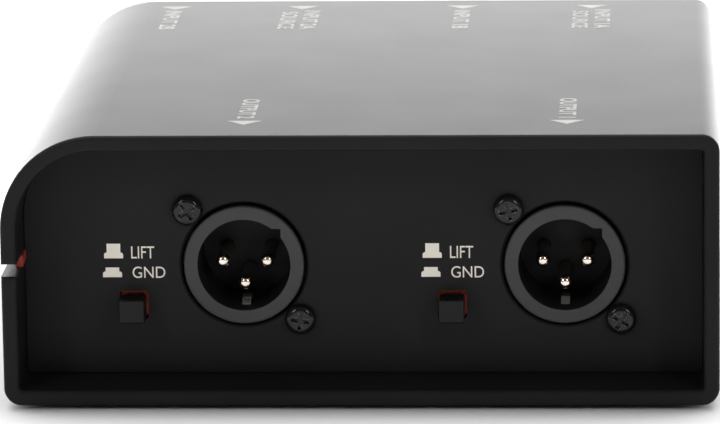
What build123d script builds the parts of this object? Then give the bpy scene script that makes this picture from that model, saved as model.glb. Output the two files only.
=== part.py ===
from build123d import *

import os

# Passive two-channel direct injection box, in millimetres.
#
# The frame: +X to the right as seen from the front, +Y to the rear, +Z up. The origin is at the middle of the
# footprint, on the surface that the box rests on. The front, with the two output sockets, faces -Y.
# Channel 1 is the right half and channel 2 the left half.

os.makedirs("parts", exist_ok=True)

# --- Driving dimensions ---------------------------------------------------------------------------------

# Outer shell: one sheet of steel, bent round four corners, with a slot along the left side
SHELL_WIDTH = 121.0
SHELL_DEPTH = 127.0
SHELL_HEIGHT = 46.6
WALL = 2.65
BIG_RADIUS = 16.2
CORNER_RADIUS = 3.0
INNER_CORNER_RADIUS = 0.6
RIM_ROUND = 0.7
SLOT_HEIGHT = 2.1
SLOT_ABOVE_BOTTOM = 22.4

# Red strip in the slot, behind the shell's outer face and a little proud of its inner face
STRIP_BEHIND_RIM = 7.5
STRIP_BEHIND_FACE = 1.7
STRIP_THICKNESS = 1.3
STRIP_GAP = 0.04

# Rubber pad underneath
PAD_THICKNESS = 0.8
PAD_INSET = 4.0
PAD_CORNER_RADIUS = 4.0
PAD_HOLE_RADIUS = 4.0

# Panels and chassis: black plates in front of the flanges of a folded chassis
RECESS = 12.7
PANEL_THICKNESS = 3.0
PANEL_GAP = 0.15
PANEL_CORNER_RADIUS = 0.6
HOLE_EDGE = 0.35
CHASSIS_THICKNESS = 1.5
CHASSIS_GAP = 0.05
BEND_RADIUS = 1.5
CHASSIS_WINDOW_RADIUS = 11.3

# Places on the front and rear, from the left side of the shell and from its bottom
OUTPUT_FROM_LEFT = {2: 40.25, 1: 94.9}
OUTPUT_ABOVE_BOTTOM = 21.7
BUTTON_FROM_LEFT = {2: 21.3, 1: 75.7}
BUTTON_ABOVE_BOTTOM = 14.6
INPUT_FROM_LEFT = {"2b": 19.8, "2a": 43.8, "1b": 74.5, "1a": 98.6}

# Output sockets: three-pin male connectors
RIM_PROUD = 0.8
SOCKET_RADIUS = 10.25
SOCKET_BORE_RADIUS = 7.95
SOCKET_BORE_DEPTH = 15.0
SOCKET_BACK_WALL = 3.0
SOCKET_HOLE_RADIUS = 10.75
SOCKET_FLANGE_RADIUS = 11.8
SOCKET_FLANGE_THICKNESS = 4.0
SOCKET_RIM_ROUND = 0.4
EAR_RADIUS = 3.7
KEYWAY_REACH = 6.35
KEYWAY_WIDTH = 2.3
PIN_RADIUS = 1.18
PIN_CIRCLE_RADIUS = 3.81
PIN_BEHIND_RIM = 2.75
PIN_IN_WALL = 1.0
PIN_DOME = 1.0
PIN_CLEARANCE = 0.05
TAIL_RADIUS = 0.6
TAIL_BEHIND_SOCKET = 2.6

# Ground contact: a strip in a groove in the bore's floor, which rises to a flat crest
GROUND_STRIP_WIDTH = 1.5
GROUND_STRIP_THICKNESS = 0.35
GROUND_GROOVE_WIDTH = 1.9
GROUND_GROOVE_START = 4.6
GROUND_GROOVE_DEPTH = 0.65
GROUND_CREST_HEIGHT = 0.9
GROUND_CREST_LENGTH = 2.6
GROUND_RAMP = 1.2
GROUND_TAIL_BEHIND_SOCKET = 0.9

# Screws that hold the sockets, through panel and chassis into the ears
SCREW_PITCH = 19.05
SCREW_HEAD_RADIUS = 2.65
SCREW_HEAD_HEIGHT = 1.8
SCREW_HEAD_ROUND = 1.1
SCREW_SHANK_RADIUS = 1.35
SCREW_LENGTH = 8.0
SCREW_HOLE_RADIUS = 1.7
CROSS_LENGTH = 3.2
CROSS_WIDTH = 0.8
CROSS_DEPTH = 1.1

# Lift buttons: square caps on latching push switches, with a travel of 2.5
BUTTON_HOLE = 5.0
BUTTON_HOLE_CORNER = 0.6
CAP_WIDTH = 4.3
CAP_HEIGHT = 4.05
CAP_LENGTH = 4.5
CAP_PROUD = 5.3
CAP_CORNER = 0.3
CAP_EDGE = 0.25
STEM = 2.44
STEM_IN_CAP = 3.2
STEM_HOLE = 2.9
SWITCH_WIDTH = 8.5
SWITCH_LENGTH = 16.0
SWITCH_WALL = 1.0
SLIDER_GAP = 0.2
SLIDER_LENGTH = 7.5
SPRING_COIL_RADIUS = 1.4
SPRING_WIRE_RADIUS = 0.2
SPRING_TURNS = 6
SPRING_BOSS_RADIUS = 0.9
SPRING_BOSS_LENGTH = 1.5
TERMINAL_PITCH = 4.0
TERMINAL_ROW = 5.0
TERMINAL_WIDTH = 0.9
TERMINAL_THICKNESS = 0.45
TERMINALS_BEHIND_MIDDLE = 2.0

# Circuit board, on four hexagonal standoffs
STANDOFF_HEIGHT = 4.2
STANDOFF_ACROSS_FLATS = 5.5
SHANK_RADIUS = 2.1
BOARD_THICKNESS = 1.6
BOARD_WIDTH = 110.0
BOARD_GAP = 0.4
BOARD_REAR_GAP = 2.3
BOARD_CORNER_RADIUS = 1.5
BOARD_SCREW_X = 51.0
BOARD_SCREW_FRONT = -36.0
BOARD_SCREW_REAR = 38.0
BOARD_SCREW_RADIUS = 1.4
BOARD_SCREW_LENGTH = 5.0
BOARD_SCREW_HEAD_RADIUS = 2.8
BOARD_SCREW_HEAD_HEIGHT = 1.8
LEAD_BELOW_BOARD = 1.4
LEAD_HOLE_RADIUS = 0.8
WIRE_LEAD_RADIUS = 0.3

# Screws from below that hold shell, chassis and press nuts together
CASE_SCREW_X = 44.0
CASE_SCREW_Y = 27.0
CASE_SCREW_RADIUS = 1.5
CASE_SCREW_HEAD_RADIUS = 2.9
CASE_SCREW_HEAD_HEIGHT = 1.6
CASE_SCREW_LENGTH = 6.0
CASE_NUT_RADIUS = 3.2
CASE_NUT_HEIGHT = 1.6

# Input jacks: 6.35 mm, each with a threaded bushing, washer and nut
JACK_AXIS_ABOVE_BOARD = 8.0
JACK_WIDTH = 14.0
JACK_HEIGHT = 16.0
JACK_LENGTH = 24.0
JACK_FRONT_WALL = 1.5
JACK_CAVITY_WIDTH = 9.4
JACK_CAVITY_HEIGHT = 10.0
JACK_BACK_WALL = 1.0
JACK_BORE_RADIUS = 3.25
JACK_MOUTH_EDGE = 0.4
BUSHING_RADIUS = 4.75
WASHER_RADIUS = 7.0
WASHER_THICKNESS = 0.8
NUT_ACROSS_FLATS = 12.7
NUT_THICKNESS = 2.4
NUT_EDGE = 0.3
BUSHING_PAST_NUT = 1.0
BUSHING_CLEARANCE = 0.1
CONTACT_THICKNESS = 0.3
CONTACT_HEIGHT = 4.0
CONTACT_FROM_AXIS = 4.3
CONTACT_CREST = 3.55

# Transformers: laminated core with the winding on its middle leg
TRANSFORMER_X = {2: -27.0, 1: 27.0}
TRANSFORMER_Y = -8.0
CORE_WIDTH = 30.0
CORE_HEIGHT = 25.0
CORE_STACK = 12.5
CORE_YOKE = 5.0
CORE_LEG = 10.0
CORE_ABOVE_BOARD = 2.0
BOBBIN_GAP = 0.1
BOBBIN_WALL = 0.7
BOBBIN_FLANGE = 0.9
BOBBIN_WIDTH = 19.6
BOBBIN_DEPTH = 22.0
BOBBIN_BAR = 3.6
WINDING_INSET = 0.3
WINDING_GAP = 0.05
BRACKET_THICKNESS = 0.8
BRACKET_WIDTH = 11.0
TAB_WIDTH = 3.0
TRANSFORMER_PIN_RADIUS = 0.4
TRANSFORMER_PIN_PITCH = 6.0

# Small parts on the board
RESISTOR_RADIUS = 1.15
RESISTOR_LENGTH = 6.3
RESISTOR_SPAN = 10.0
RESISTOR_Y = (8.0, 12.0, 16.0)
CAPACITOR_SIZE = (4.0, 9.0, 8.0)
CAPACITOR_X = 7.0
CAPACITOR_Y = 12.0
CAPACITOR_PITCH = 5.0

# --- Levels and places worked out from them ---------------------------------------------------------------


def grid(across, along):
    """Every place (x, y) with x from across and y from along."""
    return [(x, y) for x in across for y in along]


LEFT = -SHELL_WIDTH / 2
FRONT = -SHELL_DEPTH / 2
SHELL_BOTTOM = PAD_THICKNESS
SHELL_MIDDLE = SHELL_BOTTOM + SHELL_HEIGHT / 2
SLOT_Z = SHELL_BOTTOM + SLOT_ABOVE_BOTTOM + SLOT_HEIGHT / 2

PANEL_FRONT = FRONT + RECESS
FLANGE_FRONT = PANEL_FRONT + PANEL_THICKNESS
FLANGE_BACK = FLANGE_FRONT + CHASSIS_THICKNESS
FLOOR_BOTTOM = SHELL_BOTTOM + WALL + CHASSIS_GAP
FLOOR_TOP = FLOOR_BOTTOM + CHASSIS_THICKNESS
BOARD_BOTTOM = FLOOR_TOP + STANDOFF_HEIGHT
BOARD_TOP = BOARD_BOTTOM + BOARD_THICKNESS
LEAD_END = BOARD_BOTTOM - LEAD_BELOW_BOARD

OUTPUT_X = {channel: LEFT + across for channel, across in OUTPUT_FROM_LEFT.items()}
OUTPUT_Z = SHELL_BOTTOM + OUTPUT_ABOVE_BOTTOM
BUTTON_X = {channel: LEFT + across for channel, across in BUTTON_FROM_LEFT.items()}
BUTTON_Z = SHELL_BOTTOM + BUTTON_ABOVE_BOTTOM
INPUT_X = {jack: LEFT + across for jack, across in INPUT_FROM_LEFT.items()}
JACK_Z = BOARD_TOP + JACK_AXIS_ABOVE_BOARD

SOCKET_RIM = PANEL_FRONT - RIM_PROUD
SOCKET_FLOOR = SOCKET_RIM + SOCKET_BORE_DEPTH
SOCKET_BACK = SOCKET_FLOOR + SOCKET_BACK_WALL
SOCKET_EARS_BACK = FLANGE_BACK + SOCKET_FLANGE_THICKNESS
TAIL_Y = SOCKET_BACK + TAIL_BEHIND_SOCKET
GROUND_TAIL_Y = SOCKET_BACK + GROUND_TAIL_BEHIND_SOCKET
PIN_PLACES = [(-PIN_CIRCLE_RADIUS, 0), (PIN_CIRCLE_RADIUS, 0), (0, -PIN_CIRCLE_RADIUS)]
SCREW_PLACES = [(-SCREW_PITCH / 2, SCREW_PITCH / 2), (SCREW_PITCH / 2, -SCREW_PITCH / 2)]

SWITCH_FRONT = FLANGE_BACK + BOARD_GAP
SWITCH_BACK = SWITCH_FRONT + SWITCH_LENGTH
SWITCH_HEIGHT = 2 * (BUTTON_Z - BOARD_TOP)
TERMINALS_Y = (SWITCH_FRONT + SWITCH_BACK) / 2 + TERMINALS_BEHIND_MIDDLE
SLIDER_FRONT = SWITCH_FRONT + SWITCH_WALL + SLIDER_GAP
SLIDER_BACK = SLIDER_FRONT + SLIDER_LENGTH

BUSHING_LENGTH = (CHASSIS_THICKNESS + PANEL_THICKNESS + WASHER_THICKNESS + NUT_THICKNESS
                  + BUSHING_PAST_NUT)
JACK_FACE = -FLANGE_BACK
JACK_MOUTH = JACK_FACE + BUSHING_LENGTH
TIP_LEG_Y = JACK_FACE - 11.0
SLEEVE_LEG_Y = JACK_FACE - 13.5

BOARD_FRONT = SOCKET_EARS_BACK + BOARD_GAP
BOARD_REAR = JACK_FACE - BOARD_REAR_GAP
BOARD_SCREWS = grid((-BOARD_SCREW_X, BOARD_SCREW_X), (BOARD_SCREW_FRONT, BOARD_SCREW_REAR))
CASE_SCREWS = grid((-CASE_SCREW_X, CASE_SCREW_X), (-CASE_SCREW_Y, CASE_SCREW_Y))

CORE_BOTTOM = BOARD_TOP + CORE_ABOVE_BOARD
WINDOW_BOTTOM = CORE_BOTTOM + CORE_YOKE
WINDOW_HEIGHT = CORE_HEIGHT - 2 * CORE_YOKE
BOBBIN_BOTTOM = WINDOW_BOTTOM + BOBBIN_GAP
BOBBIN_TOP = WINDOW_BOTTOM + WINDOW_HEIGHT - BOBBIN_GAP
BRACKET_X = CORE_WIDTH / 2 + BOBBIN_GAP + BRACKET_THICKNESS / 2
BAR_Y = (BOBBIN_DEPTH - BOBBIN_BAR) / 2
TRANSFORMER_PINS = grid((-TRANSFORMER_PIN_PITCH, 0, TRANSFORMER_PIN_PITCH), (-BAR_Y, BAR_Y))
TERMINALS = grid((-TERMINAL_ROW / 2, TERMINAL_ROW / 2), (-TERMINAL_PITCH, 0, TERMINAL_PITCH))

STANDING = (Align.CENTER, Align.CENTER, Align.MIN)
HANGING = (Align.CENTER, Align.CENTER, Align.MAX)


def upright(y):
    """The plane across the box at depth y: its x is +X, its y is +Z, and its normal points to the front."""
    return Plane.XZ.offset(-y)


def level(z):
    """The horizontal plane at height z."""
    return Plane.XY.offset(z)


def end_outline(inset, small_radius):
    """Draws the shell's end outline, moved inwards by inset, in the current sketch on an upright plane."""
    with Locations((0, SHELL_MIDDLE)):
        Rectangle(SHELL_WIDTH - 2 * inset, SHELL_HEIGHT - 2 * inset)
    top = vertices().group_by(Axis.Y)[-1].sort_by(Axis.X)
    fillet(vertices().group_by(Axis.Y)[0] + top[1:], small_radius)
    fillet(vertices().group_by(Axis.Y)[-1].sort_by(Axis.X)[0], BIG_RADIUS - inset)


def strip_notch(inset):
    """Cuts the notch that leaves room for the seam strip in an outline drawn with that inset."""
    reach = STRIP_BEHIND_FACE + STRIP_THICKNESS + PANEL_GAP
    with Locations((LEFT + inset, SLOT_Z)):
        Rectangle(2 * (reach - inset), SLOT_HEIGHT + PANEL_GAP, mode=Mode.SUBTRACT)


def save(build, name):
    build.part.label = name
    export_step(build.part, f"parts/{name}.step")


# --- Shell, strip and pad ---------------------------------------------------------------------------------

with BuildPart() as outer_shell:
    with BuildSketch(upright(FRONT)):
        end_outline(0, CORNER_RADIUS)
    extrude(amount=-SHELL_DEPTH)
    with BuildSketch(upright(FRONT)):
        end_outline(WALL, INNER_CORNER_RADIUS)
    extrude(amount=-SHELL_DEPTH, mode=Mode.SUBTRACT)
    with Locations((LEFT, 0, SLOT_Z)):
        Box(4 * WALL, SHELL_DEPTH, SLOT_HEIGHT, mode=Mode.SUBTRACT)
    fillet(faces().sort_by(Axis.Y)[0].edges() + faces().sort_by(Axis.Y)[-1].edges(), RIM_ROUND)
    with Locations(*[Location((x, y, SHELL_BOTTOM), (180, 0, 0)) for x, y in CASE_SCREWS]):
        CounterSinkHole(CASE_SCREW_RADIUS + 0.1, CASE_SCREW_HEAD_RADIUS + 0.15, depth=WALL)
save(outer_shell, "outer_shell")

with BuildPart() as seam_strip:
    with BuildSketch(upright(FRONT + STRIP_BEHIND_RIM)):
        with Locations((LEFT + STRIP_BEHIND_FACE + STRIP_THICKNESS / 2, SLOT_Z)):
            RectangleRounded(STRIP_THICKNESS, SLOT_HEIGHT - 2 * STRIP_GAP, STRIP_THICKNESS / 5)
    extrude(amount=-(SHELL_DEPTH - 2 * STRIP_BEHIND_RIM))
save(seam_strip, "seam_strip")

with BuildPart() as base_pad:
    with BuildSketch(level(0)):
        RectangleRounded(SHELL_WIDTH - 2 * PAD_INSET, SHELL_DEPTH - 2 * PAD_INSET, PAD_CORNER_RADIUS)
        with Locations(*CASE_SCREWS):
            Circle(PAD_HOLE_RADIUS, mode=Mode.SUBTRACT)
    extrude(amount=PAD_THICKNESS)
save(base_pad, "base_pad")

# --- Panels and chassis -----------------------------------------------------------------------------------

with BuildPart() as front_panel:
    with BuildSketch(upright(PANEL_FRONT)):
        end_outline(WALL + PANEL_GAP, PANEL_CORNER_RADIUS)
        strip_notch(WALL + PANEL_GAP)
        with Locations(*[(x, OUTPUT_Z) for x in OUTPUT_X.values()]):
            Circle(SOCKET_HOLE_RADIUS, mode=Mode.SUBTRACT)
            with Locations(*SCREW_PLACES):
                Circle(SCREW_HOLE_RADIUS, mode=Mode.SUBTRACT)
        with Locations(*[(x, BUTTON_Z) for x in BUTTON_X.values()]):
            RectangleRounded(BUTTON_HOLE, BUTTON_HOLE, BUTTON_HOLE_CORNER, mode=Mode.SUBTRACT)
    extrude(amount=-PANEL_THICKNESS)
    front_circles = edges().filter_by(GeomType.CIRCLE).group_by(Axis.Y)[0]
    socket_holes = front_circles.filter_by(lambda edge: abs(edge.radius - SOCKET_HOLE_RADIUS) < HOLE_EDGE)
    chamfer(socket_holes, HOLE_EDGE)
save(front_panel, "front_panel")

with BuildPart() as rear_panel:
    with BuildSketch(upright(-FLANGE_FRONT)):
        end_outline(WALL + PANEL_GAP, PANEL_CORNER_RADIUS)
        strip_notch(WALL + PANEL_GAP)
        with Locations(*[(x, JACK_Z) for x in INPUT_X.values()]):
            Circle(BUSHING_RADIUS + BUSHING_CLEARANCE, mode=Mode.SUBTRACT)
    extrude(amount=-PANEL_THICKNESS)
save(rear_panel, "rear_panel")

# A tray folded from one sheet: floor, front flange and rear flange, trimmed to the shell's inside
with BuildPart() as inner_chassis:
    with BuildSketch(Plane.YZ):
        with Locations((0, SHELL_MIDDLE)):
            Rectangle(-2 * FLANGE_FRONT, SHELL_HEIGHT - 2 * (WALL + CHASSIS_GAP))
        fillet(vertices().group_by(Axis.Y)[0], BEND_RADIUS + CHASSIS_THICKNESS)
    extrude(amount=SHELL_WIDTH / 2, both=True)
    with BuildSketch(Plane.YZ):
        with Locations((0, FLOOR_TOP)):
            Rectangle(-2 * FLANGE_BACK, SHELL_HEIGHT, align=(Align.CENTER, Align.MIN))
        fillet(vertices().group_by(Axis.Y)[0], BEND_RADIUS)
    extrude(amount=SHELL_WIDTH / 2, both=True, mode=Mode.SUBTRACT)
    with BuildSketch(upright(FRONT)):
        end_outline(WALL + CHASSIS_GAP, INNER_CORNER_RADIUS)
        strip_notch(WALL + CHASSIS_GAP)
    extrude(amount=-SHELL_DEPTH, mode=Mode.INTERSECT)
    with BuildSketch(upright(FLANGE_FRONT)):
        with Locations(*[(x, OUTPUT_Z) for x in OUTPUT_X.values()]):
            Circle(CHASSIS_WINDOW_RADIUS)
            with Locations(*SCREW_PLACES):
                Circle(SCREW_HOLE_RADIUS)
        with Locations(*[(x, BUTTON_Z) for x in BUTTON_X.values()]):
            Rectangle(STEM_HOLE, STEM_HOLE)
    extrude(amount=-CHASSIS_THICKNESS, mode=Mode.SUBTRACT)
    with BuildSketch(upright(-FLANGE_BACK)):
        with Locations(*[(x, JACK_Z) for x in INPUT_X.values()]):
            Circle(BUSHING_RADIUS + BUSHING_CLEARANCE)
    extrude(amount=-CHASSIS_THICKNESS, mode=Mode.SUBTRACT)
    with BuildSketch(level(FLOOR_BOTTOM)):
        with Locations(*CASE_SCREWS, *BOARD_SCREWS):
            Circle(SHANK_RADIUS)
    extrude(amount=CHASSIS_THICKNESS, mode=Mode.SUBTRACT)
save(inner_chassis, "inner_chassis")

# --- Fasteners underneath and on the board -----------------------------------------------------------------

with BuildPart() as case_screws:
    with Locations(*[(x, y, SHELL_BOTTOM) for x, y in CASE_SCREWS]):
        Cone(CASE_SCREW_HEAD_RADIUS, CASE_SCREW_RADIUS, CASE_SCREW_HEAD_HEIGHT, align=STANDING)
        Cylinder(CASE_SCREW_RADIUS, CASE_SCREW_LENGTH, align=STANDING)
    with BuildSketch(level(SHELL_BOTTOM)):
        with Locations(*CASE_SCREWS):
            Rectangle(CROSS_LENGTH, CROSS_WIDTH)
            Rectangle(CROSS_WIDTH, CROSS_LENGTH)
    extrude(amount=CROSS_DEPTH, mode=Mode.SUBTRACT)
save(case_screws, "case_screws")

with BuildPart() as case_nuts:
    with BuildSketch(level(FLOOR_BOTTOM)):
        with Locations(*CASE_SCREWS):
            Circle(SHANK_RADIUS)
    extrude(amount=CHASSIS_THICKNESS)
    with BuildSketch(level(FLOOR_TOP)):
        with Locations(*CASE_SCREWS):
            Circle(CASE_NUT_RADIUS)
    extrude(amount=CASE_NUT_HEIGHT)
    with BuildSketch(level(FLOOR_BOTTOM)):
        with Locations(*CASE_SCREWS):
            Circle(CASE_SCREW_RADIUS + PIN_CLEARANCE)
    extrude(amount=CHASSIS_THICKNESS + CASE_NUT_HEIGHT, mode=Mode.SUBTRACT)
save(case_nuts, "case_nuts")

with BuildPart() as board_standoffs:
    with BuildSketch(level(FLOOR_BOTTOM)):
        with Locations(*BOARD_SCREWS):
            Circle(SHANK_RADIUS)
    extrude(amount=CHASSIS_THICKNESS)
    with BuildSketch(level(FLOOR_TOP)):
        with Locations(*BOARD_SCREWS):
            RegularPolygon(STANDOFF_ACROSS_FLATS / 2, 6, major_radius=False)
    extrude(amount=STANDOFF_HEIGHT)
    with BuildSketch(level(FLOOR_BOTTOM)):
        with Locations(*BOARD_SCREWS):
            Circle(BOARD_SCREW_RADIUS + PIN_CLEARANCE)
    extrude(amount=CHASSIS_THICKNESS + STANDOFF_HEIGHT, mode=Mode.SUBTRACT)
save(board_standoffs, "board_standoffs")

with BuildPart() as board_screws:
    with BuildSketch(level(BOARD_TOP)):
        with Locations(*BOARD_SCREWS):
            Circle(BOARD_SCREW_HEAD_RADIUS)
    extrude(amount=BOARD_SCREW_HEAD_HEIGHT)
    fillet(edges().group_by(Axis.Z)[-1], BOARD_SCREW_HEAD_HEIGHT / 2)
    with BuildSketch(level(BOARD_TOP)):
        with Locations(*BOARD_SCREWS):
            Circle(BOARD_SCREW_RADIUS)
    extrude(amount=-BOARD_SCREW_LENGTH)
    with BuildSketch(level(BOARD_TOP + BOARD_SCREW_HEAD_HEIGHT)):
        with Locations(*BOARD_SCREWS):
            Rectangle(CROSS_LENGTH, CROSS_WIDTH)
            Rectangle(CROSS_WIDTH, CROSS_LENGTH)
    extrude(amount=-CROSS_DEPTH, mode=Mode.SUBTRACT)
save(board_screws, "board_screws")


# --- Output sockets ---------------------------------------------------------------------------------------

def make_socket(channel):
    """A tube through the panel, a flange with two ears behind it, and a foot on the board."""
    centre = (OUTPUT_X[channel], OUTPUT_Z)
    with BuildPart() as socket:
        with BuildSketch(upright(SOCKET_RIM)):
            with Locations(centre):
                Circle(SOCKET_RADIUS)
        extrude(amount=-(SOCKET_BACK - SOCKET_RIM))
        with BuildSketch(upright(FLANGE_BACK)):
            with Locations(centre):
                Circle(SOCKET_FLANGE_RADIUS)
                with Locations(*SCREW_PLACES):
                    Circle(EAR_RADIUS)
            make_hull()
        extrude(amount=-SOCKET_FLANGE_THICKNESS)
        with BuildSketch(upright(BOARD_FRONT)):
            with Locations((OUTPUT_X[channel], BOARD_TOP)):
                Rectangle(2 * SOCKET_RADIUS, OUTPUT_Z - BOARD_TOP, align=(Align.CENTER, Align.MIN))
        extrude(amount=-(SOCKET_BACK - BOARD_FRONT))
        fillet(edges().filter_by(GeomType.CIRCLE).group_by(Axis.Y)[0], SOCKET_RIM_ROUND)
        with BuildSketch(upright(SOCKET_RIM)):
            with Locations(centre):
                Circle(SOCKET_BORE_RADIUS)
                with Locations((KEYWAY_REACH, KEYWAY_REACH)):
                    Rectangle(KEYWAY_WIDTH, KEYWAY_WIDTH, align=(Align.MAX, Align.MAX))
        extrude(amount=-SOCKET_BORE_DEPTH, mode=Mode.SUBTRACT)
        with BuildSketch(upright(SOCKET_FLOOR)):
            with Locations(centre):
                with Locations(*PIN_PLACES):
                    Circle(PIN_RADIUS + PIN_CLEARANCE)
        extrude(amount=-SOCKET_BACK_WALL, mode=Mode.SUBTRACT)
        with BuildSketch(upright(FLANGE_BACK)):
            with Locations(centre):
                with Locations(*SCREW_PLACES):
                    Circle(SCREW_SHANK_RADIUS + PIN_CLEARANCE)
        extrude(amount=-SOCKET_FLANGE_THICKNESS, mode=Mode.SUBTRACT)
        with BuildSketch(upright(SOCKET_RIM + GROUND_GROOVE_START)):
            with Locations((centre[0], OUTPUT_Z - SOCKET_BORE_RADIUS - GROUND_GROOVE_DEPTH)):
                Rectangle(GROUND_GROOVE_WIDTH, 2 * GROUND_GROOVE_DEPTH, align=(Align.CENTER, Align.MIN))
        extrude(amount=-(SOCKET_BACK - SOCKET_RIM - GROUND_GROOVE_START), mode=Mode.SUBTRACT)
    save(socket, f"output_{channel}_socket")


def make_ground_contact(channel):
    low = OUTPUT_Z - SOCKET_BORE_RADIUS - GROUND_GROOVE_DEPTH / 2
    crest = OUTPUT_Z - SOCKET_BORE_RADIUS + GROUND_CREST_HEIGHT
    start = SOCKET_RIM + GROUND_GROOVE_START + GROUND_STRIP_THICKNESS
    crest_start = start + GROUND_RAMP
    crest_end = crest_start + GROUND_CREST_LENGTH
    with BuildPart() as contact:
        with BuildSketch(Plane.YZ.offset(OUTPUT_X[channel])):
            with BuildLine():
                Polyline(
                    (start, low),
                    (crest_start, crest),
                    (crest_end, crest),
                    (crest_end + GROUND_RAMP, low),
                    (GROUND_TAIL_Y, low),
                    (GROUND_TAIL_Y, LEAD_END),
                )
            trace(line_width=GROUND_STRIP_THICKNESS)
        extrude(amount=GROUND_STRIP_WIDTH / 2, both=True)
    save(contact, f"output_{channel}_ground_contact")


def make_pins(channel):
    """Three pins with domed tips; each has a thinner tail that turns down into the board."""
    centre = (OUTPUT_X[channel], OUTPUT_Z)
    with BuildPart() as pins:
        with BuildSketch(upright(SOCKET_RIM + PIN_BEHIND_RIM)):
            with Locations(centre):
                with Locations(*PIN_PLACES):
                    Circle(PIN_RADIUS)
        extrude(amount=-(SOCKET_BORE_DEPTH - PIN_BEHIND_RIM + PIN_IN_WALL))
        fillet(edges().group_by(Axis.Y)[0], PIN_DOME)
        with BuildSketch(upright(SOCKET_FLOOR)):
            with Locations(centre):
                with Locations(*PIN_PLACES):
                    Circle(TAIL_RADIUS)
        extrude(amount=-(TAIL_Y - SOCKET_FLOOR))
        for across, up in PIN_PLACES:
            with Locations((OUTPUT_X[channel] + across, TAIL_Y, OUTPUT_Z + up)):
                Sphere(TAIL_RADIUS)
                Cylinder(TAIL_RADIUS, OUTPUT_Z + up - LEAD_END, align=HANGING)
    save(pins, f"output_{channel}_pins")


for channel in (1, 2):
    make_socket(channel)
    make_ground_contact(channel)
    make_pins(channel)

CROSS_TURNS = {(1, 0): 12, (1, 1): 60, (2, 0): 35, (2, 1): 80}

with BuildPart() as output_screws:
    with BuildSketch(upright(PANEL_FRONT)):
        with Locations(*[(x, OUTPUT_Z) for x in OUTPUT_X.values()]):
            with Locations(*SCREW_PLACES):
                Circle(SCREW_HEAD_RADIUS)
    extrude(amount=SCREW_HEAD_HEIGHT)
    fillet(edges().group_by(Axis.Y)[0], SCREW_HEAD_ROUND)
    with BuildSketch(upright(PANEL_FRONT)):
        with Locations(*[(x, OUTPUT_Z) for x in OUTPUT_X.values()]):
            with Locations(*SCREW_PLACES):
                Circle(SCREW_SHANK_RADIUS)
    extrude(amount=-SCREW_LENGTH)
    with BuildSketch(upright(PANEL_FRONT - SCREW_HEAD_HEIGHT)):
        for (channel, place), turn in CROSS_TURNS.items():
            across, up = SCREW_PLACES[place]
            with Locations((OUTPUT_X[channel] + across, OUTPUT_Z + up)):
                Rectangle(CROSS_LENGTH, CROSS_WIDTH, rotation=turn)
                Rectangle(CROSS_LENGTH, CROSS_WIDTH, rotation=turn + 90)
    extrude(amount=-CROSS_DEPTH, mode=Mode.SUBTRACT)
save(output_screws, "output_screws")


# --- Lift buttons and their switches -----------------------------------------------------------------------

CAP_FRONT = PANEL_FRONT - CAP_PROUD
CAP_BACK = CAP_FRONT + CAP_LENGTH


def make_button(channel):
    with BuildPart() as cap:
        with BuildSketch(upright(CAP_FRONT)):
            with Locations((BUTTON_X[channel], BUTTON_Z)):
                RectangleRounded(CAP_WIDTH, CAP_HEIGHT, CAP_CORNER)
        extrude(amount=-CAP_LENGTH)
        fillet(edges().group_by(Axis.Y)[0], CAP_EDGE)
        with BuildSketch(upright(CAP_BACK)):
            with Locations((BUTTON_X[channel], BUTTON_Z)):
                Rectangle(STEM, STEM)
        extrude(amount=STEM_IN_CAP, mode=Mode.SUBTRACT)
    save(cap, f"lift_button_{channel}")


def make_plunger(channel):
    """The square stem that carries the cap, the slider inside the switch, and a boss for the spring."""
    centre = (BUTTON_X[channel], BUTTON_Z)
    with BuildPart() as plunger:
        with BuildSketch(upright(CAP_BACK - STEM_IN_CAP)):
            with Locations(centre):
                Rectangle(STEM, STEM)
        extrude(amount=-(SLIDER_FRONT - CAP_BACK + STEM_IN_CAP))
        with BuildSketch(upright(SLIDER_FRONT)):
            with Locations(centre):
                Rectangle(SWITCH_WIDTH - 2 * (SWITCH_WALL + SLIDER_GAP),
                          SWITCH_HEIGHT - 2 * (SWITCH_WALL + SLIDER_GAP))
        extrude(amount=-SLIDER_LENGTH)
        with BuildSketch(upright(SLIDER_BACK)):
            with Locations(centre):
                Circle(SPRING_BOSS_RADIUS)
        extrude(amount=-SPRING_BOSS_LENGTH)
    save(plunger, f"switch_plunger_{channel}")


def make_housing(channel):
    centre = (BUTTON_X[channel], BUTTON_Z)
    with BuildPart() as housing:
        with BuildSketch(upright(SWITCH_FRONT)):
            with Locations(centre):
                Rectangle(SWITCH_WIDTH, SWITCH_HEIGHT)
        extrude(amount=-SWITCH_LENGTH)
        with BuildSketch(upright(SWITCH_FRONT + SWITCH_WALL)):
            with Locations(centre):
                Rectangle(SWITCH_WIDTH - 2 * SWITCH_WALL, SWITCH_HEIGHT - 2 * SWITCH_WALL)
        extrude(amount=-(SWITCH_LENGTH - 2 * SWITCH_WALL), mode=Mode.SUBTRACT)
        with BuildSketch(upright(SWITCH_FRONT)):
            with Locations(centre):
                Rectangle(STEM + 2 * SLIDER_GAP, STEM + 2 * SLIDER_GAP)
        extrude(amount=-SWITCH_WALL, mode=Mode.SUBTRACT)
    save(housing, f"switch_housing_{channel}")


def make_spring(channel):
    start = SLIDER_BACK + SPRING_WIRE_RADIUS + PIN_CLEARANCE
    height = SWITCH_BACK - SWITCH_WALL - SPRING_WIRE_RADIUS - PIN_CLEARANCE - start
    with BuildPart() as spring:
        with BuildLine() as coil:
            Helix(height / SPRING_TURNS, height, SPRING_COIL_RADIUS,
                  center=(BUTTON_X[channel], start, BUTTON_Z), direction=(0, 1, 0))
        with BuildSketch(Plane(origin=coil.line @ 0, z_dir=coil.line % 0)):
            Circle(SPRING_WIRE_RADIUS)
        sweep(is_frenet=True)
    save(spring, f"switch_spring_{channel}")


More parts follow.
